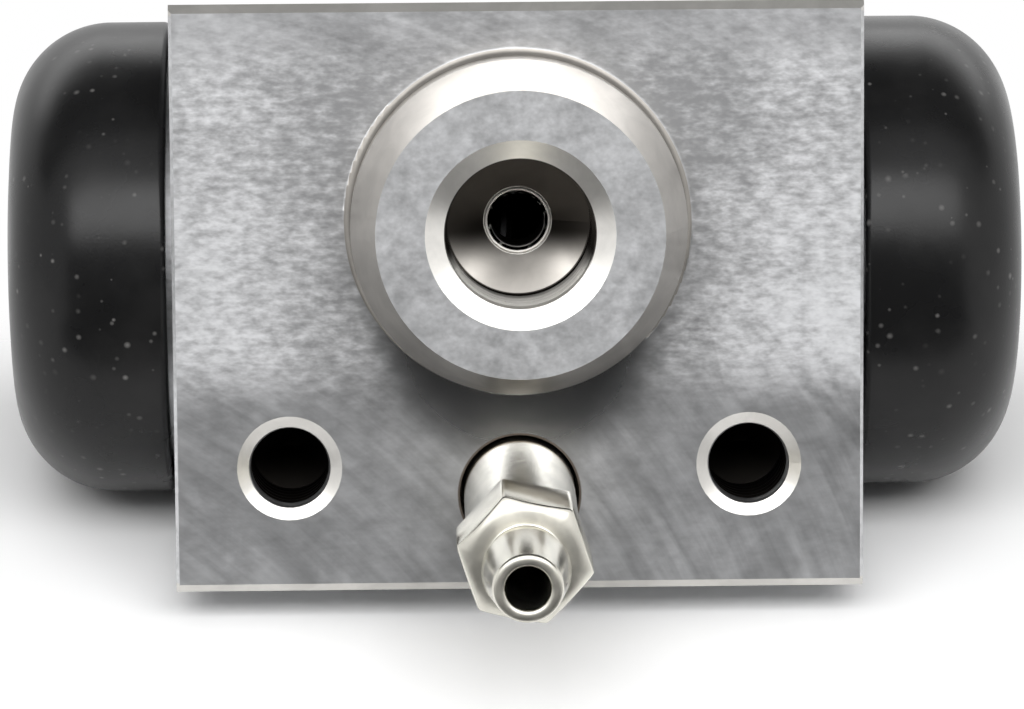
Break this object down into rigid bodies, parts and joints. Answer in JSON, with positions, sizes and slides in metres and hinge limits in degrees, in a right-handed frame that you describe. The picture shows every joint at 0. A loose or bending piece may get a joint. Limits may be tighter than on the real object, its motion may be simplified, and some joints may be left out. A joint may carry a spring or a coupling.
{
  "type": "wheel cylinder",
  "caption": "Drum brake wheel cylinder: flat-faced aluminium body with a tapered inlet spigot, opposed slotted pistons under rubber boots and a tilted bleed screw.",
  "frame": {"origin": "on the mounting face, midway between the two tapped bolt holes", "axes": "+X along the bore to the right-hand piston, -Y out of the mounting face, +Z from the bolt line towards the inlet spigot"},
  "size_m": [0.0628, 0.0495, 0.036],
  "materials": {
    "body_aluminium": "milled",
    "piston_aluminium": "anodised",
    "seal_rubber": "smooth",
    "zinc_steel": "bright zinc plated",
    "spring_steel": "oiled drawn wire",
    "boot_rubber": "satin"
  },
  "bodies": {
    "housing": {"cylinder_body": "body_aluminium", "boot_left": "boot_rubber", "boot_right": "boot_rubber", "return_spring": "spring_steel"},
    "piston_set_left": {"piston_left": "piston_aluminium", "cup_seal_left": "seal_rubber", "cup_expander_left": "zinc_steel"},
    "piston_set_right": {"piston_right": "piston_aluminium", "cup_seal_right": "seal_rubber", "cup_expander_right": "zinc_steel"},
    "bleed_valve": {"bleed_screw": "zinc_steel"}
  },
  "joints": [
    {"name": "piston_left_slide", "type": "slide", "parent": "housing", "child": "piston_set_left", "axis": [-1, 0, 0], "range_m": [-0.003, 0.006], "deforming": ["boot_left", "return_spring"]},
    {"name": "piston_right_slide", "type": "slide", "parent": "housing", "child": "piston_set_right", "axis": [1, 0, 0], "range_m": [-0.003, 0.006], "deforming": ["boot_right", "return_spring"]},
    {"name": "bleed_turn", "type": "hinge", "parent": "housing", "child": "bleed_valve", "pos_m": [0, 0, -0.00175], "axis": [0, -0.9932, -0.1167], "range_deg": [0, 360]}
  ]
}
